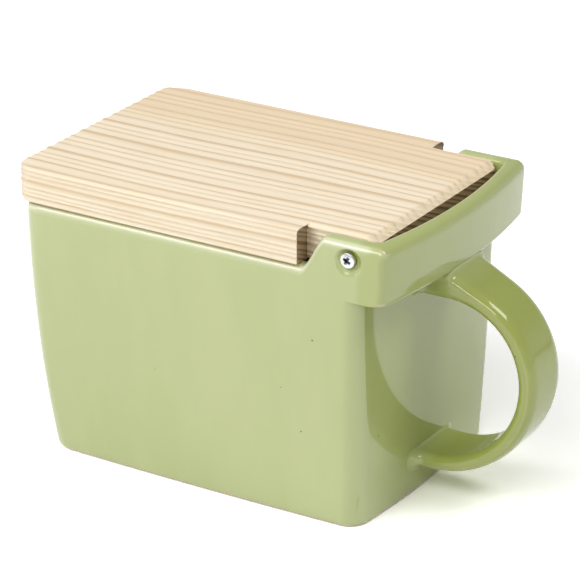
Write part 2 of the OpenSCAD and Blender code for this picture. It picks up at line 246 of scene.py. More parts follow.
leastCorner = 0.5 * mm
earInner = rimHalf - v["rimWidth"]


def wallBend(t, bend):
    return 1 - (1 - np.clip(t, 0, 1)) ** bend


def frontAt(z):
    return blendTo(v["footFront"], v["rimFront"], wallBend(z / v["rimHeight"], v["frontBend"]))


def halfAt(z):
    return blendTo(v["footHalf"], rimHalf, wallBend(z / v["rimHeight"], v["sideBend"]))


def backAt(z):
    return blendTo(v["footBack"], v["backTop"], wallBend(z / collarUnder, v["backBend"]))


def backCornerAt(z):
    return blendTo(v["backFootCorner"], v["backTopCorner"], np.clip(z / collarUnder, 0, 1))


def sideBowAt(z):
    return v["sideBow"] * (1 - np.clip(z / v["rimHeight"], 0, 1))


def rimAt(x):
    return blendTo(v["rimHeight"], earTop, soften((x - v["earStart"]) / v["earSlope"]))


# Cells round half a ring, and rings up each part of the vessel's section
ringSteps = {"back": 22, "corner": 12, "ear": 24, "slope": 24, "side": 16, "front": 12}
rowSteps = {"foot": 7, "walls": 30, "tuck": 6, "lip": 8, "collarFace": 26, "rimOutside": 10,
            "rimInside": 7, "upright": 5, "ledge": 14, "inside": 16, "floor": 7}


# One ring of the vessel in plan, bowed, at its height under the rim
def vesselRing(z, drop, front, back, half, frontCorner, backCorner, sideBow, rearBow):
    n = ringSteps
    frontCorner = max(frontCorner, leastCorner)
    backCorner = max(backCorner, leastCorner)
    sideBack, sideFront = back - backCorner, frontCorner - front
    slopeEnd = v["earStart"] + v["earSlope"]
    squeeze = min(1, (sideBack - leastCorner) / slopeEnd)
    quarter = quarterTurn(n["corner"] + 1)
    slopeX = np.linspace(slopeEnd, v["earStart"], n["slope"] + 1)
    x = np.concatenate([
        np.full(n["back"], back),
        sideBack + backCorner * np.cos(quarter),
        np.linspace(sideBack, slopeEnd * squeeze, n["ear"] + 1)[1:-1],
        slopeX * squeeze,
        np.linspace(v["earStart"] * squeeze, sideFront, n["side"] + 1)[1:-1],
        sideFront - frontCorner * np.sin(quarter),
        np.full(n["front"], -front),
    ])
    y = np.concatenate([
        np.linspace(0, half - backCorner, n["back"] + 1)[:-1],
        half - backCorner + backCorner * np.sin(quarter),
        np.full(n["ear"] + n["slope"] + n["side"] - 1, half),
        half - frontCorner + frontCorner * np.cos(quarter),
        np.linspace(half - frontCorner, 0, n["front"] + 1)[1:],
    ])
    rim = np.concatenate([
        np.full(n["back"] + n["corner"] + n["ear"], earTop),
        rimAt(slopeX),
        np.full(n["side"] + n["corner"] + n["front"], v["rimHeight"]),
    ])
    x = np.concatenate([x, x[-2:0:-1]])
    y = np.concatenate([y, -y[-2:0:-1]])
    rim = np.concatenate([rim, rim[-2:0:-1]])
    along = (x - (back - front) / 2) / ((back + front) / 2)
    across = y / half
    bowedX = x + np.where(x > 0, rearBow, -sideBow) * (1 - across ** 2)
    bowedY = y + np.sign(y) * sideBow * (1 - along ** 2)
    if drop is not None:
        height = rim - drop
    elif z <= levelHeight:
        height = np.full(len(x), z)
    else:
        share = (z - levelHeight) / (earTop - v["rimRounding"] - levelHeight)
        height = blendTo(levelHeight, rim - v["rimRounding"], share)
    return np.stack([bowedX, bowedY, height], 1)


# Where a ring dips under the low rim, it draws in to the walls' curve at that height
def outsideRing(z, back, inset=0, drop=None, corner=None, bow=None):
    corner = v["backTopCorner"] if corner is None else corner
    bow = v["backBow"] if bow is None else bow
    front, half = frontAt(z) - inset, halfAt(z) - inset
    ring = vesselRing(z, drop, front, back - inset, half, v["frontCorner"] - inset, corner - inset,
                      sideBowAt(z), bow)
    x, y, height = ring.T
    x = np.where(x > 0, x, x * (frontAt(height) - inset) / front)
    return np.stack([x, y * (halfAt(height) - inset) / half, height], 1)


def rimRing(z, back, drop=None, inset=0, corner=None, bow=None):
    corner = v["collarInnerCorner"] if corner is None else corner
    bow = v["collarBow"] if bow is None else bow
    return vesselRing(z, drop, v["rimFront"] - v["rimWidth"] + inset, back + inset, earInner + inset,
                      v["innerRimCorner"] + inset, corner + inset, 0, bow)


def insideRing(z, inset=0):
    t = soften((z - collarUnder + v["wallChange"]) / v["wallChange"])
    front = blendTo(frontAt(z) - v["wall"], v["rimFront"] - v["rimWidth"], t) - inset
    half = blendTo(halfAt(z) - v["wall"], earInner, t) - inset
    corner = blendTo(v["innerFrontCorner"], v["innerRimCorner"], t) + inset / 2
    return vesselRing(z, None, front, backAt(z) - v["wall"] - inset, half, corner,
                      v["innerBackCorner"] + inset / 2, sideBowAt(z), v["backBow"])


def vesselRings():
    n = rowSteps
    foot = v["backFootCorner"]
    rings = [outsideRing(v["footRecess"], backAt(0), v["footRing"] + v["recessSlope"], corner=foot),
             outsideRing(0, backAt(0), v["footRing"], corner=foot)]
    for a in quarterTurn(n["foot"]):  # rounded foot
        z = v["footRounding"] * (1 - math.cos(a))
        rings.append(outsideRing(z, backAt(z), v["footRounding"] * (1 - math.sin(a)), corner=foot))
    for z in np.linspace(v["footRounding"], collarUnder - v["tuck"], n["walls"])[1:]:  # walls
        rings.append(outsideRing(z, backAt(z), corner=backCornerAt(z)))
    for a in quarterTurn(n["tuck"])[1:]:  # hollow under the collar
        z = collarUnder - v["tuck"] * (1 - math.sin(a))
        rings.append(outsideRing(z, backAt(z) + v["tuck"] * (1 - math.cos(a))))
    for share in (0.25, 0.5, 0.75):  # underside of the collar
        edge = blendTo(backAt(collarUnder) + v["tuck"], collarFoot - v["lip"], share)
        rings.append(outsideRing(collarUnder, edge, bow=blendTo(v["backBow"], v["collarBow"], share)))
    for a in quarterTurn(n["lip"]):  # lower edge of the collar
        z = collarUnder + v["lip"] * (1 - math.cos(a))
        rings.append(outsideRing(z, collarFoot - v["lip"] * (1 - math.sin(a)), bow=v["collarBow"],
                                 corner=blendTo(v["backTopCorner"], v["collarCorner"], math.sin(a))))
    for t in np.linspace(0, 1, n["collarFace"])[1:]:  # face of the collar and the ears
        z = blendTo(collarUnder + v["lip"], earTop - v["rimRounding"], t)
        rings.append(outsideRing(z, collarFoot + v["collarLean"] * t, corner=v["collarCorner"],
                                 bow=v["collarBow"]))
    for a in quarterTurn(n["rimOutside"])[1:]:  # outer edge of the rim
        rings.append(outsideRing(earTop, collarOut, v["rimRounding"] * (1 - math.cos(a)),
                                 v["rimRounding"] * (1 - math.sin(a)), v["collarCorner"],
                                 v["collarBow"]))
    for a in quarterTurn(n["rimInside"])[::-1]:  # inner edge of the rim
        rings.append(rimRing(earTop, collarIn, v["rimInnerRounding"] * (1 - math.sin(a)),
                             v["rimInnerRounding"] * (1 - math.cos(a))))
    for t in np.linspace(0, 1, n["upright"])[1:]:  # upright part inside
        rings.append(rimRing(earTop - v["rimRounding"] - v["upright"] * t, collarIn))
    ledgeStart = math.acos((collarIn - hinge.x) / v["ledgeRadius"])
    for t in np.linspace(0, 1, n["ledge"]):  # ledge behind the tongue, on an arc about the hinge
        a = blendTo(ledgeStart, math.radians(v["ledgeEnd"]), t)
        rings.append(rimRing(hinge.z - v["ledgeRadius"] * math.sin(a),
                             hinge.x + v["ledgeRadius"] * math.cos(a),
                             corner=blendTo(v["collarInnerCorner"], v["innerBackCorner"], t),
                             bow=blendTo(v["collarBow"], v["backBow"], t)))
    innerFoot = v["floor"] + v["floorRounding"]
    for z in np.linspace(collarUnder + v["ledgeRise"], innerFoot, n["inside"]):
        rings.append(insideRing(z))
    for a in quarterTurn(n["floor"])[1:]:  # rounding between the walls and the floor inside
        rings.append(insideRing(v["floor"] + v["floorRounding"] * (1 - math.sin(a)),
                                v["floorRounding"] * (1 - math.cos(a))))
    return rings


# [radius, shift down, height over the ear's face]: a pit round the head in a dish with a lower lip
dishProfile = np.array([
    [1.56, 0, -12], [1.56, 0, -1.2], [2.85, 0, -1.2], [2.88, 0, -0.98], [2.96, -0.03, -0.9],
    [3.12, -0.2, -0.88], [3.45, -0.6, -0.86], [3.62, -0.66, -0.79], [3.82, -0.67, -0.66],
    [4.02, -0.68, -0.52], [4.22, -0.7, -0.38], [4.42, -0.72, -0.24], [4.6, -0.73, -0.13],
    [4.78, -0.74, -0.05], [4.95, -0.75, 0.02], [5.2, -0.75, 0.06], [5.2, -0.75, 2]]) * mm


# Each dish is cut with its bore by one turned cutter
def boreEars(piece):
    turns = np.radians(np.arange(0, 360, v["dishFacet"]))
    for side in (-1, 1):
        rings = [np.stack([hinge.x + r * np.cos(turns), np.full(len(turns), side * (rimHalf + up)),
                           hinge.z + down + r * np.sin(turns)], 1) for r, down, up in dishProfile]
        cutter = stackRings("dish_cutter", rings)
        makeSolidOutward(cutter, v["dishSmooth"])
        cutAway(piece, cutter)


# How deep the glaze colour lies, from 0 for the base colour to 1 for the deep one, partly thicker
# glaze and partly painted shade, and the length of each change. paleFrom and paleTo are degrees round
# the rim from its side, each with its length of change, for the pale line that is partly a painted
# highlight
glazeFlowAndPaintedLight = {
    "backEndDeepAndShade": 0.45,
    "underCollarShade": 0.1,
    "inside": 0.4,
    "pitShade": 1.3,  # over 1, so that the deep colour reaches farther
    "pitRadius": 3.9 * mm,
    "pitStart": 0.15 * mm,
    "pitRun": 0.5 * mm,
    "run": 3 * mm,
    "root": 0.55,
    "rootRun": 10 * mm,
    "paleFrom": (12, 20),
    "paleTo": (50, 22),
    "paleLoss": 0.75,
    "paleRun": 4 * mm,
}


# Deeper green on the end that the handle is on, under the collar, inside and round the screws:
# partly thicker glaze, partly painted shade where less light falls
def vesselDeepGlazeAndShade(places):
    g = glazeFlowAndPaintedLight
    x, y, z = places.T
    start, slack = 1 * mm, 0.5 * mm
    behind = soften((x - v["backTop"] + start) / g["run"])
    under = soften((collarUnder + start - z) / g["run"])
    inside = (np.abs(y) < earInner + slack) & (z > v["floor"] - slack) & (x < backAt(z) - start)
    inPit = soften((rimHalf - g["pitStart"] - np.abs(y)) / g["pitRun"])
    inPit = inPit * (np.hypot(x - hinge.x, z - hinge.z) < g["pitRadius"])
    pooled = np.maximum(np.where(inside, g["inside"], 0), g["pitShade"] * inPit)
    return np.maximum(behind * (g["backEndDeepAndShade"] + g["underCollarShade"] * under), pooled)


# A pale line along the rim's outer edge, strongest along the sides: partly glaze drawn off the edge,
# partly a painted highlight on the part of the rounding that faces up and out
def paleRimAndHighlight(places):
    g = glazeFlowAndPaintedLight
    x, y, z = places.T
    rounding = v["rimRounding"]
    up = z - (rimAt(x) - rounding)
    out = np.maximum(np.abs(y) - (rimHalf - rounding), -x - (v["rimFront"] - rounding))
    angle = np.degrees(np.arctan2(up, np.maximum(out, 1e-6)))
    (start, rise), (end, fall) = g["paleFrom"], g["paleTo"]
    band = soften((angle - start) / rise) * (1 - soften((angle - end) / fall))
    along = 1 - g["paleLoss"] * soften((x - collarIn) / g["paleRun"] + 0.5)
    return np.where((up > 0) & (out > 0), band * along, 0)


def makeVessel():
    vessel = stackRings("glazed_vessel", vesselRings())
    makeSolidOutward(vessel, v["smoothAngle"])
    boreEars(vessel)
    makeSolidOutward(vessel, v["smoothAngle"])
    places = coords(vessel)
    fromScrew = np.hypot(places[:, 0] - hinge.x, places[:, 2] - hinge.z)
    setAttribute(vessel, "edge", edgeTurn(vessel) * soften(fromScrew / v["dishMouth"] - 1))
    setAttribute(vessel, "deepGlazeAndShade", vesselDeepGlazeAndShade(places))
    setAttribute(vessel, "paleAndHighlight", paleRimAndHighlight(places))
    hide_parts("vessel")
    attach(vessel, "box")
    print("vessel thrown:", len(vessel.data.polygons), "faces")
    return vessel


# The strap handle, pulled from the collar to the foot

strapShape = {
    "width": 20.6 * mm,
    "rootWidth": 23 * mm,
    "thickness": 5.7 * mm,
    "rounding": 2.3 * mm,
    "outerRoll": 4.4 * mm,
    "reach": 101.2 * mm,
    "reachHeight": 45.3 * mm,
    "rootDrop": 6.05 * mm,
    "rootHeight": 12.8 * mm,
    "webSlope": 26,
    "webFillet": 2.2 * mm,
    "sideFillet": 4 * mm,
    "innerFillet": 0.8 * mm,
    "lowFillet": 2.5 * mm,
    "sunk": 1.5 * mm,
    "filletSteps": 12,
    "webSteps": 10,
    "arcStep": 2,
    "runStep": 0.7 * mm,
    "cornerSteps": 12,
    "faceCells": 20,
    "sideCells": 6,
    "smoothAngle": 60,
}
s = strapShape
strapTop = collarUnder - s["rootDrop"]
topRadius = strapTop - s["reachHeight"]
lowRadius = s["reachHeight"] - s["rootHeight"]
topBendX = s["reach"] - topRadius
lowBendX = s["reach"] - lowRadius
halfThick = s["thickness"] / 2
outerRadius = topRadius + halfThick
collarFaceX = collarFoot + v["collarBow"]
webSlope = math.radians(s["webSlope"])
webX = collarFaceX + s["webFillet"] - topBendX
webZ = (outerRadius + s["webFillet"] - webX * math.sin(webSlope)) / math.cos(webSlope)
webStart = math.atan((collarFaceX - topBendX) / webZ)
webEnd = math.atan((webX - s["webFillet"] * math.sin(webSlope))
                   / (webZ - s["webFillet"] * math.cos(webSlope)))


# Outer side of the strap seen from its upper bend, in the direction a from upright
def outerAt(a):
    if a <= webStart:
        return webZ / math.cos(webStart)
    if a < webEnd:
        near = webX * math.sin(a) + webZ * math.cos(a)
        beside = webX * math.cos(a) - webZ * math.sin(a)
        return near - math.sqrt(max(s["webFillet"] ** 2 - beside ** 2, 0))
    if a < webSlope:
        return outerRadius / math.cos(webSlope - a)
    return outerRadius


# Distances from the wall for the rings of a straight run, closest where the fillet is tightest
def runSteps(length):
    fillet = s["sideFillet"]
    near = [-s["sunk"], -s["sunk"] / 3, *(fillet * (1 - np.cos(quarterTurn(s["filletSteps"] + 1))))]
    return near + list(np.arange(fillet + s["runStep"], length, s["runStep"]))


# Stops along the centre line: [x, z, direction, depth to the outer side, distance from the wall]
def strapStops():
    topWall = backAt(strapTop) + v["backBow"]
    lowWall = backAt(s["rootHeight"]) + v["backBow"]
    webDepth = outerAt(0) - topRadius
    stops = [[topWall + d, strapTop, 0, webDepth, d] for d in runSteps(topBendX - topWall)]
    angles = list(np.linspace(webStart, webEnd, s["webSteps"]))
    angles += list(np.radians(np.arange(math.degrees(webEnd) + 1, 90, s["arcStep"])))
    for a in angles:
        x = topBendX + topRadius * math.sin(a)
        stops.append([x, s["reachHeight"] + topRadius * math.cos(a), a, outerAt(a) - topRadius,
                      x - topWall])
    for a in np.radians(np.arange(90, 180.1, s["arcStep"])):
        x = lowBendX + lowRadius * math.sin(a)
        stops.append([x, s["reachHeight"] + lowRadius * math.cos(a), a, halfThick, x - lowWall])
    for d in reversed(runSteps(lowBendX - lowWall)):
        stops.append([lowWall + d, s["rootHeight"], math.pi, halfThick, d])
    return stops


# A bar's section as (across, outwards) with its normals; its outer edges roll over more widely
def barSection(halfWide, outDepth, inDepth):
    rounding, roll = s["rounding"], s["outerRoll"]
    middles = np.array([(halfWide - roll, outDepth - rounding), (roll - halfWide, outDepth - rounding),
                        (rounding - halfWide, rounding - inDepth),
                        (halfWide - rounding, rounding - inDepth)])
    reach = np.array([(roll, rounding), (roll, rounding), (rounding, rounding), (rounding, rounding)])
    places, normals = [], []
    for k, cells in enumerate((s["faceCells"], s["sideCells"]) * 2):  # each corner and its flat
        a = quarterTurn(s["cornerSteps"] + 1) + k * math.pi / 2
        arc = np.stack([np.cos(a), np.sin(a)], 1)
        lean = arc / reach[k]
        places += list(middles[k] + reach[k] * arc)
        normals += list(lean / np.linalg.norm(lean, axis=1)[:, None])
        after = (k + 1) % 4
        ends = middles[k] + reach[k] * arc[-1], middles[after] + reach[after] * arc[-1]
        for t in np.linspace(0, 1, cells + 1)[1:-1]:
            places.append(blendTo(*ends, t))
            normals.append(arc[-1])
    return np.array(places), np.array(normals)


# How far a point at each place lies outside the vessel
def outsideBy(wall, place):
    found, normal, _, distance = wall.find_nearest(place)
    return distance if (place - found).dot(normal) > 0 else 0


# The section swells into the wall with a fillet: wide at the sides, small on the inner face
def makeHandle(vessel):
    wall = BVHTree.FromPolygons([x.co for x in vessel.data.vertices],
                                [list(x.vertices) for x in vessel.data.polygons])
    rings = []
    outward = s["reach"] - backAt(strapTop) - v["backBow"]
    least = 0.01 * mm  # keeps the outer side, which has no fillet, from dividing by 0
    for x, z, a, outDepth, fromWall in strapStops():
        extra = (s["rootWidth"] - s["width"]) / 2 * (1 - soften(fromWall / outward))
        places, normals = barSection(s["width"] / 2 + extra, outDepth, halfThick)
        ring = []
        for (across, out), (nx, ny) in zip(places, normals):
            point = Vector((x + out * math.sin(a), -across, z + out * math.cos(a)))
            faceFillet = s["innerFillet"] if ny < 0 else s["lowFillet"] if a > math.pi / 2 else 0
            fillet = s["sideFillet"] * nx ** 2 + faceFillet * ny ** 2
            if point.x < collarFaceX + 2 * s["sideFillet"]:
                u = max(0, 1 - outsideBy(wall, point) / max(fillet, least))
                grow = fillet * (1 - math.sqrt(1 - u * u))
                point += Vector((ny * math.sin(a), -nx, ny * math.cos(a))) * grow
            ring.append(point)
        rings.append(np.array(ring))
    handle = stackRings("strap_handle", rings)
    makeSolidOutward(handle, s["smoothAngle"])
    away = np.array([outsideBy(wall, x.co) for x in handle.data.vertices])
    g = glazeFlowAndPaintedLight
    setAttribute(handle, "edge", edgeTurn(handle) * soften(away / g["run"]))
    # the strap takes the deep colour, partly thicker glaze and partly painted shade, less of it at its
    # roots
    setAttribute(handle, "deepGlazeAndShade", blendTo(g["root"], 1, soften(away / g["rootRun"])))
    setAttribute(handle, "paleAndHighlight", np.zeros(len(away)))  # the pale line is the vessel's alone
    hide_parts("handle")
    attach(handle, "box")
    print("handle pulled:", len(handle.data.polygons), "faces")
    return handle


# The lid: one brushed softwood board, its growth rings standing proud

lidShape = {
    "half": 46.8 * mm,
    "tongueHalf": 40.1 * mm,
    "notchX": 40 * mm,
    "freeCorner": 9 * mm,
    "tongueCorner": 3.2 * mm,
    "edgeRounding": 1.6 * mm,
    "underRounding": 0.3 * mm,
    "bevelLength": 3.1 * mm,
    "bevelHeight": 2.6 * mm,
    "bevelWave": 0.9 * mm,
    "bevelCurve": 1.15,
    "bevelBelow": 0.93,
    "bevelBeyond": 0.3,
    "bevelFade": 0.1,
    "notchSideRun": 4.5 * mm,
    "ringPitch": 1.8 * mm,
    "ringDip": 0.4,
    "ringWander": 0.55,
    "wanderScale": (0.012, 0.02, 0.02),  # per mm along x, y and z
    "ringStrength": 0.86,
    "lateStart": 0.15,
    "lateRun": 0.6,
    "lateFall": 0.18,
    "relief": 0.38 * mm,
    "endRelief": 0.12 * mm,
    "endFacing": 0.7,
    "endRun": 0.25,
    # the free end takes a quarter of the end-grain darkening, which on the +X ends is partly painted
    # shade
    "freeEndSawn": 0.25,
    "notchSideDark": 0.7,
    "shoulderCells": 20,
    "tongueCells": 228,
    "thicknessCells": 29,
    "pilotRadius": 1.52 * mm,
    "pilotDepth": 20.7 * mm,
    "smoothAngle": 50,
}
lidSteps = {"freeCorner": 15, "freeEdge": 7, "board": 26, "tongue": 6, "bevel": 12, "tongueCorner": 9}
w = lidShape
lidThick = lidHigh.z - lidLow.z


# The rings counted from the lid's middle: they dip across the board, wander and vary in width
def growthPhase(places):
    wander = np.array([noise.noise(Vector(spot)) for spot in places / mm * w["wanderScale"]])
    _, y, z = places.T / mm
    p = (z + w["ringDip"] * y) / (w["ringPitch"] / mm) + w["ringWander"] * wander
    return p + 0.2 * np.sin(1.7 * p) + 0.12 * np.sin(0.63 * p + 1)  # uneven widths


# 0 in the soft early wood and 1 on the hard late wood, with each ring a little different
def growthHeight(places):
    p = growthPhase(places)
    whole = np.floor(p)
    part = p - whole
    vary = np.sin(whole * 12.9898) * np.cos(whole * 4.1)  # as good as chance, the same each run
    rise = soften((part - w["lateStart"]) / w["lateRun"])
    fall = 1 - soften((part - 1) / w["lateFall"] + 1)
    return rise * fall * blendTo(w["ringStrength"], 1, vary)


# How far a rounded corner lies inside the square one, at a distance from where it starts
def cornerFall(radius, reach):
    if reach >= radius:
        return 0
    return radius - math.sqrt(max(radius ** 2 - (radius - reach) ** 2, 0))


# Sections from the free end to the tongue's end: [x, squeeze in width, drop of the top, part]
def lidSections():
    n = lidSteps
    start, end = lidLow.x, lidHigh.x
    r, corner, tip = w["edgeRounding"], w["freeCorner"], w["tongueCorner"]
    sections = []
    xs = list(start + corner * (1 - np.cos(quarterTurn(n["freeCorner"]))))
    xs += list(start + r * (1 - np.cos(quarterTurn(n["freeEdge"])[1:-1])))
    xs += list(np.linspace(start + corner, w["notchX"], n["board"])[1:])
    xs.append(w["notchX"] - 0.12 * mm)  # a close ring keeps the saw marks off the side
    for x in sorted(set(round(x, 8) for x in xs)):
        half = w["half"] - cornerFall(corner, x - start)
        sections.append([x, half / w["half"], cornerFall(r, x - start), "board"])
    bevelStart = end - w["bevelLength"] - w["bevelWave"]
    xs = list(np.linspace(w["notchX"] + 0.02 * mm, bevelStart, n["tongue"]))
    xs += list(np.linspace(bevelStart, end - 0.2 * mm, n["bevel"])[1:])
    xs += list(end - tip * (1 - np.sin(quarterTurn(n["tongueCorner"]))))
    for x in sorted(set(round(x, 8) for x in xs)):
        half = w["tongueHalf"] - cornerFall(tip, end - x)
        sections.append([x, half / w["tongueHalf"], 0, "tongue"])
    return sections


# Rounds a square corner of the section: the corner's own square turns into a quarter disc
def roundCorner(y, z, half, level, rounding, up):
    u = np.abs(y) - (half - rounding)
    t = (z - (level - rounding)) if up else ((level + rounding) - z)
    inside = (u > 0) & (t > 0)
    big = np.maximum(u, t)
    small = np.minimum(u, t)
    angle = np.where(big > 0, small / np.maximum(big, 1e-9), 0) * math.pi / 4
    newU = np.where(u > t, big * np.cos(angle), big * np.sin(angle))
    newT = np.where(u > t, big * np.sin(angle), big * np.cos(angle))
    y = np.where(inside, np.sign(y) * (half - rounding + newU), y)
    z = np.where(inside, (level - rounding + newT) if up else (level + rounding - newT), z)
    return y, z


def makeLid():
    cellsY = 2 * w["shoulderCells"] + w["tongueCells"]
    yLines = np.concatenate([
        np.linspace(-w["half"], -w["tongueHalf"], w["shoulderCells"] + 1)[:-1],
        np.linspace(-w["tongueHalf"], w["tongueHalf"], w["tongueCells"] + 1),
        np.linspace(w["tongueHalf"], w["half"], w["shoulderCells"] + 1)[1:]])
    zLines = np.concatenate([[0, w["underRounding"] / 2],
                             np.linspace(w["underRounding"], lidThick, w["thicknessCells"] + 1)])
    zLines = zLines + lidLow.z
    cellsZ = len(zLines) - 1
    sections = lidSections()
    boardLast = sum(section[3] == "board" for section in sections) - 1
    tongueSteps = len(sections) - 1 - boardLast
    deselectAll()
    bpy.ops.mesh.primitive_grid_add(x_subdivisions=cellsY, y_subdivisions=cellsZ, size=2)
    lid = nameIt(bpy.context.object, "brushed_lid")
    extrudeLevels(lid, 0, boardLast)
    middles = np.empty(len(lid.data.polygons) * 3)
    lid.data.polygons.foreach_get("center", middles)
    across, _, up = middles.reshape(-1, 3).T
    tongueEdge = 1 - 2 * w["shoulderCells"] / cellsY
    lid.data.polygons.foreach_set("select", (up > boardLast - 0.1) & (np.abs(across) < tongueEdge))
    extrudeLevels(lid, boardLast, tongueSteps)
    now = coords(lid)
    col = np.rint((now[:, 0] + 1) / 2 * cellsY).astype(int)
    row = np.rint((now[:, 1] + 1) / 2 * cellsZ).astype(int)
    level = np.rint(now[:, 2]).astype(int)
    table = np.array([[a, b, c, d == "tongue"] for a, b, c, d in sections], float)
    x, squeeze, drop, tongue = table[level].T
    half = np.where(tongue > 0, w["tongueHalf"], w["half"])
    y, z = yLines[col], zLines[row]
    y, z = roundCorner(y, z, half, lidHigh.z, w["edgeRounding"], True)
    y, z = roundCorner(y, z, half, lidLow.z, w["underRounding"], False)
    y = y * squeeze
    top = growthHeight(np.stack([x, y, np.full(len(x), lidHigh.z)], 1))
    run = w["bevelLength"] + w["bevelWave"] * (0.5 - top)  # the late wood juts into the bevel
    bevel = np.clip(1 - (lidHigh.x - x) / run, 0, 1) * (tongue > 0)
    drop = drop + w["bevelHeight"] * bevel ** w["bevelCurve"]
    z = z - drop * ((z - lidLow.z) / lidThick) ** 3  # the underside stays flat
    setCoords(lid, np.stack([x, y, z], 1))
    makeSolidOutward(lid, w["smoothAngle"])
    borePilots(lid)
    places, normals = coords(lid), vertexVectors(lid, "normal")
    growth = growthHeight(places)
    endGrain = soften((np.abs(normals[:, 0]) - w["endFacing"]) / w["endRun"])
    depth = blendTo(w["relief"], w["endRelief"], endGrain)
    inPilot = np.hypot(places[:, 0] - hinge.x, places[:, 2] - hinge.z) < w["pilotRadius"] * 1.3
    depth = np.where(inPilot, 0, depth)
    setAttribute(lid, "growth", growth)
    # End grain is darker; the ends facing +X, away from the lamps, take it fully, which is partly
    # painted shade, and the free end only a quarter
    sawn = np.where(normals[:, 0] > 0, endGrain, w["freeEndSawn"] * endGrain)
    notchSideDark = 1 - soften((places[:, 0] - w["notchX"]) / w["notchSideRun"])  # darker on the tongue's sides, fading away from the notches
    shoulder = (places[:, 0] > w["notchX"] + 0.01 * mm) & (np.abs(normals[:, 1]) > w["endFacing"])
    setAttribute(lid, "sawn", np.maximum(sawn, np.where(shoulder, w["notchSideDark"] * notchSideDark, 0)))
    slopes = soften((w["bevelBelow"] - normals[:, 2]) / w["bevelFade"])
    faces = soften((normals[:, 0] - w["bevelBeyond"]) / w["bevelFade"])
    # the bevel's lighter colour is partly cut wood and partly painted light on a slope facing away
    # from the lamps
    setAttribute(lid, "bevel", slopes * faces * (1 - endGrain))
    setCoords(lid, places - normals * (depth * (1 - growth))[:, None])
    pick(lid)
    bpy.ops.object.shade_smooth_by_angle(angle=math.radians(w["smoothAngle"]))
    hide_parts("lid")
    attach(lid, "lid")
    print("lid sawn and brushed:", len(lid.data.polygons), "faces")
    return lid


def borePilots(lid):
    outside = 1 * mm
    depth = w["pilotDepth"] + outside
    for side in (-1, 1):
        deselectAll()
        middle = side * (w["tongueHalf"] + outside - depth / 2)
        bpy.ops.mesh.primitive_cylinder_add(vertices=32, radius=w["pilotRadius"], depth=depth,
                                            location=(hinge.x, middle, hinge.z),
                                            rotation=(math.pi / 2, 0, 0))
        cutAway(lid, bpy.context.object)


# Two pan head screws

screwShape = {
    "headRadius": 2.5 * mm,
    "headHeight": 2 * mm,
    "headRounding": 0.35 * mm,
    "headChamfer": 0.15 * mm,
    "crown": 0.3 * mm,
    "shankRadius": 1.5 * mm,
    "length": 20 * mm,
    "pointLength": 3 * mm,
    "tipRadius": 0.2 * mm,
    "slotWidth": 1.05 * mm,
    "slotLength": 4.1 * mm,
    "slotDepth": 1.3 * mm,
    "slotTaper": 0.62,
    "slotTurn": 28,
    "recessShadeStart": 0.1 * mm,
    "recessShadeRun": 0.3 * mm,
    "facet": 7.5,  # degrees
    "smoothAngle": 35,
}


# The screw is turned about Z with its head up, then laid along Y
def makeScrew(name, node, side):
    q = screwShape
    low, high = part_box(node)
    seat = (high.y if side > 0 else -low.y) - q["headHeight"]  # under the head, from the middle
    edge, crown = q["headRounding"], q["crown"]
    profile = [(q["tipRadius"], -q["length"]),
               (q["shankRadius"], q["pointLength"] - q["length"]),
               (q["shankRadius"], 0),
               (q["headRadius"] - q["headChamfer"], 0),
               (q["headRadius"], q["headChamfer"])]
    for a in np.radians(np.linspace(0, 78, 8)):  # rounded edge of the head
        r = q["headRadius"] - edge * (1 - math.cos(a))
        profile.append((r, q["headHeight"] - crown - edge * (1 - math.sin(a))))
    for share in (0.8, 0.6, 0.4, 0.2):  # its low crown
        r = (q["headRadius"] - edge) * share
        profile.append((r, q["headHeight"] - crown * share ** 2))
    turns = np.radians(np.arange(0, 360, q["facet"]))
    rings = [np.stack([r * np.cos(turns), r * np.sin(turns), np.full(len(turns), z)], 1)
             for r, z in profile]
    screw = stackRings(name, rings)
    makeSolidOutward(screw, q["smoothAngle"])
    for k in (0, 1):
        cutSlot(screw, math.radians(q["slotTurn"] + 90 * k))
    makeSolidOutward(screw, q["smoothAngle"])
    places = coords(screw)
    x, y, z = places.T
    # painted shade darkens the cross recess, deeper below the head's face
    sunk = (q["headHeight"] - crown - q["recessShadeStart"] - z) / q["recessShadeRun"]
    inRecess = (np.hypot(x, y) < q["slotLength"] / 2 + q["recessShadeStart"]) & (z > q["headChamfer"])
    setAttribute(screw, "recess", np.where(inRecess, np.clip(sunk, 0, 1), 0))
    setCoords(screw, np.stack([hinge.x + x, side * (seat + z), hinge.z + y * side], 1))
    makeSolidOutward(screw, q["smoothAngle"])
    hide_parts(node)
    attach(screw, "lid")
    return screw


# One arm of the cross, narrowing in length towards its floor
def cutSlot(screw, turn):
    q = screwShape
    deselectAll()
    bpy.ops.mesh.primitive_cube_add(size=1, location=(0, 0, q["headHeight"]), rotation=(0, 0, turn),
                                    scale=(q["slotLength"], q["slotWidth"], 2 * q["slotDepth"]))
    cutter = bpy.context.object
    bpy.ops.object.transform_apply(location=True, rotation=True, scale=True)
    places = coords(cutter)
    deep = places[:, 2] < q["headHeight"]
    axis = np.array([math.cos(turn), math.sin(turn), 0])
    along = places @ axis
    places -= np.where(deep, along * q["slotTaper"], 0)[:, None] * axis
    setCoords(cutter, places)
    cutAway(screw, cutter)


# Materials

def newMaterial(name):
    material = bpy.data.materials.new(name)
    material.use_nodes = True
    tree = material.node_tree
    tree.nodes.clear()
    output = tree.nodes.new("ShaderNodeOutputMaterial")
    shader = tree.nodes.new("ShaderNodeBsdfPrincipled")
    tree.links.new(shader.outputs["BSDF"], output.inputs["Surface"])
    return material, tree, shader


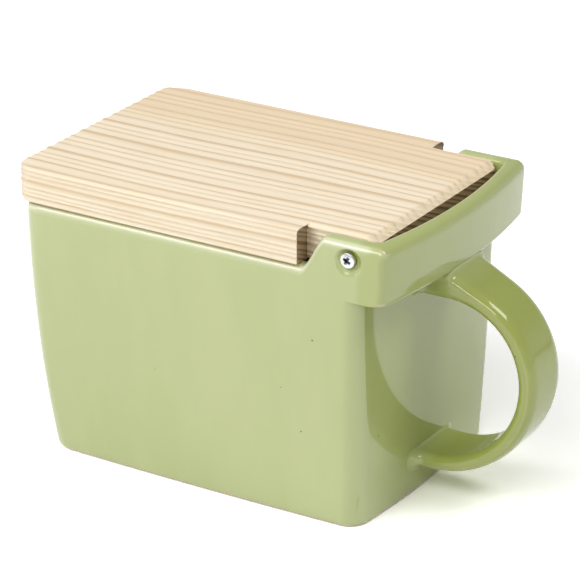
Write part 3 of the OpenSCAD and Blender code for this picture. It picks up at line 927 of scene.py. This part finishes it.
def newGroup(name, inputs, outputs):
    group = bpy.data.node_groups.new(name, "ShaderNodeTree")
    for label, kind, value in inputs:
        socket = group.interface.new_socket(label, in_out="INPUT", socket_type=kind)
        if value is not None:
            socket.default_value = value
    for label, kind in outputs:
        group.interface.new_socket(label, in_out="OUTPUT", socket_type=kind)
    entry = group.nodes.new("NodeGroupInput")
    result = group.nodes.new("NodeGroupOutput")
    return group, entry, result


# A socket takes a number, a colour or another node's output
def feed(tree, socket, value):
    if isinstance(value, (int, float)):
        socket.default_value = value
    elif isinstance(value, tuple):
        socket.default_value = (*value, 1)
    else:
        tree.links.new(value, socket)


def addMath(tree, operation, *values, clamp=False):
    node = tree.nodes.new("ShaderNodeMath")
    node.operation = operation
    node.use_clamp = clamp
    for socket, value in zip(node.inputs, values):
        feed(tree, socket, value)
    return node.outputs[0]


def addMix(tree, factor, a, b):
    node = tree.nodes.new("ShaderNodeMix")
    node.data_type = "RGBA"
    for k, value in ((0, factor), (6, a), (7, b)):  # the factor and the two colours
        feed(tree, node.inputs[k], value)
    return node.outputs[2]


# Mixes two plain values
def addBlend(tree, factor, a, b):
    node = tree.nodes.new("ShaderNodeMix")
    for k, value in ((0, factor), (2, a), (3, b)):
        feed(tree, node.inputs[k], value)
    return node.outputs[0]


# Eases a value from one range into another
def addRange(tree, value, fromMin, fromMax, toMin=0, toMax=1):
    node = tree.nodes.new("ShaderNodeMapRange")
    node.interpolation_type = "SMOOTHSTEP"
    tree.links.new(value, node.inputs["Value"])
    for socket, number in zip(node.inputs[1:5], (fromMin, fromMax, toMin, toMax)):
        socket.default_value = number
    return node.outputs["Result"]


# Uneven colour: soft clouds, drawn out along one axis, and a few dark specks
def makeMottleGroup():
    group, entry, result = newGroup(
        "mottleAndSpecks",
        [("Position", "NodeSocketVector", None), ("Cloud Scale", "NodeSocketFloat", 40.0),
         ("Stretch", "NodeSocketVector", (1, 1, 1)), ("Speck Scale", "NodeSocketFloat", 300.0),
         ("Speck Size", "NodeSocketFloat", 0.1)],
        [("Clouds", "NodeSocketFloat"), ("Fine", "NodeSocketFloat"), ("Specks", "NodeSocketFloat")])
    links = group.links
    position, scale, stretchBy, speckScale, speckSize = entry.outputs[:5]
    stretch = group.nodes.new("ShaderNodeVectorMath")
    stretch.operation = "MULTIPLY"
    links.new(position, stretch.inputs[0])
    links.new(stretchBy, stretch.inputs[1])
    fineScale = addMath(group, "MULTIPLY", scale, 9.0)
    for label, size, detail in (("Clouds", scale, 3), ("Fine", fineScale, 4)):
        texture = group.nodes.new("ShaderNodeTexNoise")
        texture.inputs["Detail"].default_value = detail
        links.new(stretch.outputs[0], texture.inputs["Vector"])
        links.new(size, texture.inputs["Scale"])
        links.new(texture.outputs["Fac"], result.inputs[label])
    cells = group.nodes.new("ShaderNodeTexVoronoi")
    links.new(position, cells.inputs["Vector"])
    links.new(speckScale, cells.inputs["Scale"])
    chance = group.nodes.new("ShaderNodeSeparateColor")
    links.new(cells.outputs["Color"], chance.inputs["Color"])
    near = addMath(group, "LESS_THAN", cells.outputs["Distance"], speckSize)
    rare = addMath(group, "GREATER_THAN", chance.outputs["Red"], 0.985)  # few cells hold a speck
    links.new(addMath(group, "MULTIPLY", near, rare), result.inputs["Specks"])
    return group


# Where an edge turns sharply enough for the glaze to thin, a little broken up
def makeEdgeGroup():
    group, entry, result = newGroup(
        "edgeMask",
        [("Turn", "NodeSocketFloat", 0.0), ("Breakup", "NodeSocketFloat", 0.5),
         ("Start", "NodeSocketFloat", 0.1), ("Full", "NodeSocketFloat", 0.5)],
        [("Mask", "NodeSocketFloat")])
    turn, breakup, start, full = entry.outputs[:4]
    shifted = addMath(group, "SUBTRACT", breakup, 0.5)
    shifted = addMath(group, "MULTIPLY", shifted, 0.25)
    over = addMath(group, "SUBTRACT", addMath(group, "ADD", turn, shifted), start)
    span = addMath(group, "SUBTRACT", full, start)
    mask = addMath(group, "DIVIDE", over, span, clamp=True)
    group.links.new(mask, result.inputs["Mask"])
    return group


def placeGroup(tree, group, values, links):
    node = tree.nodes.new("ShaderNodeGroup")
    node.node_tree = group
    for label, value in values.items():
        node.inputs[label].default_value = value
    for label, output in links.items():
        tree.links.new(output, node.inputs[label])
    return node


def addBump(tree, shader, height, strength, distance):
    bump = tree.nodes.new("ShaderNodeBump")
    bump.inputs["Strength"].default_value = strength
    bump.inputs["Distance"].default_value = distance
    tree.links.new(height, bump.inputs["Height"])
    tree.links.new(bump.outputs["Normal"], shader.inputs["Normal"])


def readAttribute(tree, name):
    node = tree.nodes.new("ShaderNodeAttribute")
    node.attribute_name = name
    return node.outputs["Fac"]


def readPlace(tree, kind="Object"):
    return tree.nodes.new("ShaderNodeTexCoord").outputs[kind]


def splitAxes(tree, vector):
    node = tree.nodes.new("ShaderNodeSeparateXYZ")
    tree.links.new(vector, node.inputs[0])
    return node.outputs


glazeFinish = {
    "base": (0.50, 0.55, 0.255),
    "cloud": (0.475, 0.528, 0.235),
    # deep is partly thicker glaze and partly painted shade
    "deep": (0.35, 0.40, 0.09),
    "thin": (0.60, 0.55, 0.30),
    # pale is partly thin glaze and partly a painted highlight
    "paleAndHighlight": (0.80, 0.81, 0.60),
    "speck": (0.16, 0.13, 0.07),
    "clay": (0.74, 0.62, 0.48),
    "mottle": {"Cloud Scale": 55.0, "Stretch": (1, 1, 0.3), "Speck Scale": 420.0, "Speck Size": 0.13},
    "cloudRange": (0.35, 0.68),
    "edgeRange": {"Start": 0.22, "Full": 0.5},
    "thinAmount": 0.8,
    "paleAmount": 0.85,
    "clayLine": 0.5 * mm,
    "clayRagged": 0.4 * mm,
    "roughness": 0.07,
    "clayRoughness": 0.85,
    "bump": (0.06, 0.4 * mm),
    "refraction": 1.6,
}


def makeGlaze(mottle, edges):
    g = glazeFinish
    material, tree, shader = newMaterial("spring_glaze")
    place = readPlace(tree)
    uneven = placeGroup(tree, mottle, g["mottle"], {"Position": place})
    clouds = addRange(tree, uneven.outputs["Clouds"], *g["cloudRange"])
    colour = addMix(tree, clouds, g["cloud"], g["base"])
    # deeper green, partly thicker glaze and partly painted shade on the shaded parts
    colour = addMix(tree, readAttribute(tree, "deepGlazeAndShade"), colour, g["deep"])
    mask = placeGroup(tree, edges, g["edgeRange"],
                      {"Turn": readAttribute(tree, "edge"), "Breakup": uneven.outputs["Clouds"]})
    thin = addMath(tree, "MULTIPLY", mask.outputs["Mask"], g["thinAmount"])
    colour = addMix(tree, thin, colour, g["thin"])
    # pale line on the rim, partly thin glaze and partly a painted highlight
    paleAndHighlight = addMath(tree, "MULTIPLY", readAttribute(tree, "paleAndHighlight"), g["paleAmount"])
    colour = addMix(tree, paleAndHighlight, colour, g["paleAndHighlight"])
    colour = addMix(tree, uneven.outputs["Specks"], colour, g["speck"])
    ragged = addMath(tree, "MULTIPLY", uneven.outputs["Clouds"], g["clayRagged"])
    level = addMath(tree, "SUBTRACT", splitAxes(tree, place)["Z"], ragged)
    bare = addMath(tree, "LESS_THAN", level, g["clayLine"])
    colour = addMix(tree, bare, colour, g["clay"])
    feed(tree, shader.inputs["Base Color"], colour)
    feed(tree, shader.inputs["Roughness"],
         addRange(tree, bare, 0, 1, g["roughness"], g["clayRoughness"]))
    addBump(tree, shader, uneven.outputs["Clouds"], *g["bump"])
    shader.inputs["IOR"].default_value = g["refraction"]
    return material


woodFinish = {
    "early": (0.90, 0.79, 0.61),
    "middle": (0.82, 0.68, 0.48),
    "late": (0.62, 0.43, 0.24),
    "tan": (0.80, 0.62, 0.40),
    # bevel is partly cut-wood colour and partly painted light
    "bevel": (0.95, 0.79, 0.56),
    "sawnLight": (0.34, 0.23, 0.13),
    "sawnDark": (0.15, 0.09, 0.05),
    "mottle": {"Cloud Scale": 45.0, "Stretch": (0.1, 1, 1), "Speck Scale": 500.0, "Speck Size": 0.08},
    "middleRange": (0.05, 0.7, 0, 0.6),
    "lineRange": (0.86, 1.2, 0, 0.66),
    "lineBreakup": 0.5,
    "farRange": (-10 * mm, 30 * mm, 0, 0.34),
    "heartRange": (0.55, 0.85, 0, 0.6),
    "fibreRange": (0.4, 0.75, 0, 0.3),
    "bevelAmount": 0.6,
    "sawnRange": (0.2, 0.8),
    "roughness": 0.62,
    "bump": (0.35, 0.15 * mm),
}


def makeWood(mottle):
    g = woodFinish
    material, tree, shader = newMaterial("brushed_softwood")
    place = readPlace(tree)
    fibres = placeGroup(tree, mottle, g["mottle"], {"Position": place})
    growth = readAttribute(tree, "growth")
    clouds, fine = fibres.outputs["Clouds"], fibres.outputs["Fine"]
    colour = addMix(tree, addRange(tree, growth, *g["middleRange"]), g["early"], g["middle"])
    wavy = addMath(tree, "MULTIPLY_ADD", fine, g["lineBreakup"], growth)  # the lines come and go
    colour = addMix(tree, addRange(tree, wavy, *g["lineRange"]), colour, g["late"])
    far = addRange(tree, splitAxes(tree, place)["Y"], *g["farRange"])
    heart = addRange(tree, addMath(tree, "ADD", clouds, far), *g["heartRange"])
    colour = addMix(tree, heart, colour, g["tan"])
    colour = addMix(tree, addRange(tree, fine, *g["fibreRange"]), colour, g["tan"])
    # lighter, warmer bevel: partly cut-wood colour, partly painted light on a slope facing away from
    # the lamps
    bevel = addMath(tree, "MULTIPLY", readAttribute(tree, "bevel"), g["bevelAmount"])
    colour = addMix(tree, bevel, colour, g["bevel"])
    ends = addMix(tree, addRange(tree, growth, *g["sawnRange"]), g["sawnLight"], g["sawnDark"])
    # end-grain colour, full on the ends facing +X, where it is partly painted shade
    colour = addMix(tree, readAttribute(tree, "sawn"), colour, ends)
    feed(tree, shader.inputs["Base Color"], colour)
    shader.inputs["Roughness"].default_value = g["roughness"]
    addBump(tree, shader, fine, *g["bump"])
    return material


steelFinish = {
    "dull": (0.58, 0.59, 0.62),
    "bright": (0.72, 0.72, 0.73),
    # recess is painted shade in the cross
    "recess": (0.08, 0.09, 0.12),
    "mottle": {"Cloud Scale": 700.0, "Speck Scale": 3000.0, "Speck Size": 0.1},
    "roughRange": (0.3, 0.7, 0.2, 0.36),
}


def makeSteel(mottle):
    g = steelFinish
    material, tree, shader = newMaterial("bright_zinc")
    uneven = placeGroup(tree, mottle, g["mottle"], {"Position": readPlace(tree)})
    colour = addMix(tree, uneven.outputs["Clouds"], g["dull"], g["bright"])
    # painted shade in the cross recess
    colour = addMix(tree, readAttribute(tree, "recess"), colour, g["recess"])
    feed(tree, shader.inputs["Base Color"], colour)
    feed(tree, shader.inputs["Roughness"],
         addRange(tree, uneven.outputs["Fine"], *g["roughRange"]))
    shader.inputs["Metallic"].default_value = 1
    return material


def dress(piece, material):
    piece.data.materials.clear()
    piece.data.materials.append(material)


# Studio

studio = {
    "cameraPlace": (0.4922, -0.7892, 0.4518),
    "cameraTurn": 31.48,
    "cameraTilt": 23.15,
    "lens": 190.15,
    "sensor": 36,
    "clip": 0.01,
    "sky": 0.34,
    "skyLow": 0.85,
    "skyHigh": 0.35,
    "skyRange": (0.05, 0.45),
    "softboxes": {  # place, size and power
        "key": ((-0.208, -0.725, 0.868), (1.7, 0.42), 10.4),
        "fill": ((0.1, 0.1, 1.3), (1.2, 1.2), 0.5),
        "side": ((0.7, 0.25, 1.1), (0.45, 0.45), 3.9),
        "kick": ((-1.1, -0.55, 0.2), (0.14, 0.3), 0.8),
    },
    "aim": (0, 0, 0.05),
    "floorSize": 8,
    "floorGap": 0.03 * mm,
    "floorColour": 0.82,
    "floorSeen": 1.5,
}


# 1 for what is seen, straight, in a reflection or through glass, and 0 for light that falls on things
def seenByEye(tree):
    path = tree.nodes.new("ShaderNodeLightPath")
    either = addMath(tree, "MAXIMUM", path.outputs["Is Camera Ray"], path.outputs["Is Glossy Ray"])
    return addMath(tree, "MAXIMUM", either, path.outputs["Is Transmission Ray"])


def aimedSoftbox(name, place, size, power, aim):
    light = bpy.data.lights.new(name, "AREA")
    light.shape = "RECTANGLE"
    light.size, light.size_y = size
    light.energy = power
    lamp = bpy.data.objects.new(name, light)
    bpy.context.scene.collection.objects.link(lamp)
    lamp.location = place
    lamp.rotation_euler = (Vector(aim) - Vector(place)).to_track_quat("-Z", "Y").to_euler()


def makeStudio():
    k = studio
    scene = bpy.context.scene
    scene.view_settings.view_transform = "Standard"
    camera = bpy.data.objects.new("camera", bpy.data.cameras.new("camera"))
    scene.collection.objects.link(camera)
    camera.location = k["cameraPlace"]
    camera.rotation_euler = (math.radians(90 - k["cameraTilt"]), 0, math.radians(k["cameraTurn"]))
    camera.data.lens = k["lens"]
    camera.data.sensor_width = k["sensor"]
    camera.data.clip_start = k["clip"]
    scene.camera = camera

    world = bpy.data.worlds.new("paper_white")
    world.use_nodes = True
    scene.world = world
    tree = world.node_tree
    background = tree.nodes["Background"]
    path = tree.nodes.new("ShaderNodeLightPath")
    upward = splitAxes(tree, readPlace(tree, "Generated"))["Z"]
    dome = addRange(tree, upward, *k["skyRange"], k["skyLow"], k["skyHigh"])  # seen in reflections
    glossy = addBlend(tree, path.outputs["Is Glossy Ray"], k["sky"], dome)
    clear = addMath(tree, "MAXIMUM", path.outputs["Is Camera Ray"],
                    path.outputs["Is Transmission Ray"])
    background.inputs["Color"].default_value = (1, 1, 1, 1)
    tree.links.new(addBlend(tree, clear, glossy, 1), background.inputs["Strength"])

    deselectAll()
    bpy.ops.mesh.primitive_plane_add(size=k["floorSize"], location=(0, 0, -k["floorGap"]))
    floor = nameIt(bpy.context.object, "floor")
    material, tree, shader = newMaterial("paper_floor")
    seen = addMix(tree, seenByEye(tree), (k["floorColour"],) * 3, (k["floorSeen"],) * 3)
    feed(tree, shader.inputs["Base Color"], seen)
    shader.inputs["Roughness"].default_value = 1
    shader.inputs["Specular IOR Level"].default_value = 0
    dress(floor, material)

    for name, (place, size, power) in k["softboxes"].items():
        aimedSoftbox(name + "_softbox", place, size, power, k["aim"])
    print("studio set")


makeStudio()
vessel = makeVessel()
handle = makeHandle(vessel)
lid = makeLid()
nearScrew = makeScrew("near_pan_screw", "near_screw", -1)
farScrew = makeScrew("far_pan_screw", "far_screw", 1)
print("screws turned")

mottleGroup = makeMottleGroup()
edgeGroup = makeEdgeGroup()
glaze = makeGlaze(mottleGroup, edgeGroup)
dress(vessel, glaze)
dress(handle, glaze)
dress(lid, makeWood(mottleGroup))
steel = makeSteel(mottleGroup)
dress(nearScrew, steel)
dress(farScrew, steel)
print("materials on")
